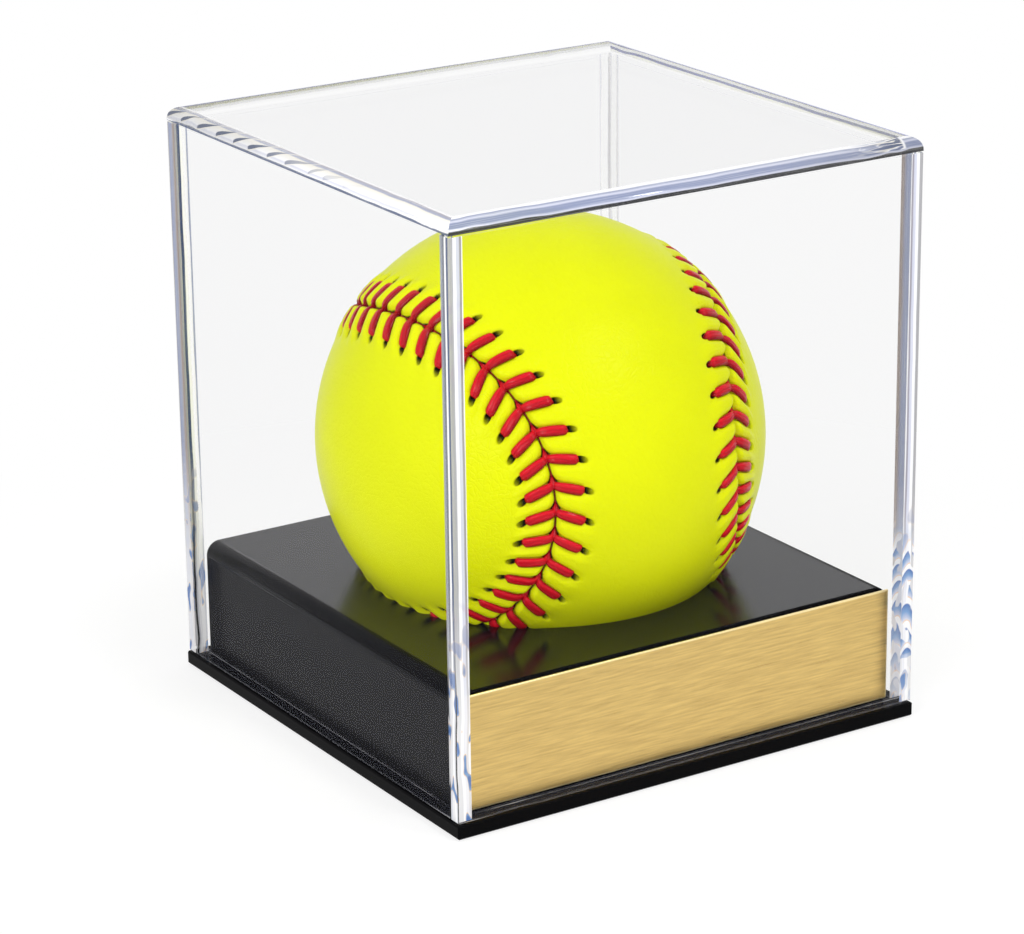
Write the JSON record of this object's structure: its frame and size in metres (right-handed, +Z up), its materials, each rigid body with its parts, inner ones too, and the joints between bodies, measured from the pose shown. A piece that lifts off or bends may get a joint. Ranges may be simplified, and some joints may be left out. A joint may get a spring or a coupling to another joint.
{
  "type": "softball display case",
  "caption": "Square clear acrylic display case with a black base, a black riser with a round ball seat, a blank brass plate and a yellow softball with red stitching.",
  "frame": {"origin": "centre of the base plate's underside", "axes": "+Z up, -Y out of the face that the brass plate is on, +X to the right of someone who looks at that face"},
  "size_m": [0.1142, 0.1142, 0.127],
  "materials": {
    "black_acrylic": "gloss black acrylic with polished edges",
    "satin_black": "satin black acrylic",
    "brass": "brushed along its length",
    "adhesive": "adhesive sheet",
    "clear_acrylic": "polished clear acrylic",
    "core": "cast core",
    "yellow_leather": "fine-grained optic yellow cover",
    "red_thread": "waxed red thread"
  },
  "bodies": {
    "base": {"base_plate": "black_acrylic", "riser_shell": "satin_black", "riser_front_panel": "satin_black", "riser_back_panel": "satin_black", "name_plate": "brass", "plate_adhesive": "adhesive"},
    "cover": {"cover_top_panel": "clear_acrylic", "cover_front_panel": "clear_acrylic", "cover_back_panel": "clear_acrylic", "cover_left_panel": "clear_acrylic", "cover_right_panel": "clear_acrylic"},
    "ball": {"ball_core": "core", "ball_cover_panel_a": "yellow_leather", "ball_cover_panel_b": "yellow_leather", "ball_thread_left": "red_thread", "ball_thread_right": "red_thread"}
  },
  "joints": [
    {"name": "cover_lift", "type": "slide", "parent": "base", "child": "cover", "axis": [0, 0, 1], "range_m": [0, 0.12]},
    {"name": "ball_lift", "type": "slide", "parent": "base", "child": "ball", "axis": [0, 0, 1], "range_m": [0, 0.016]}
  ]
}
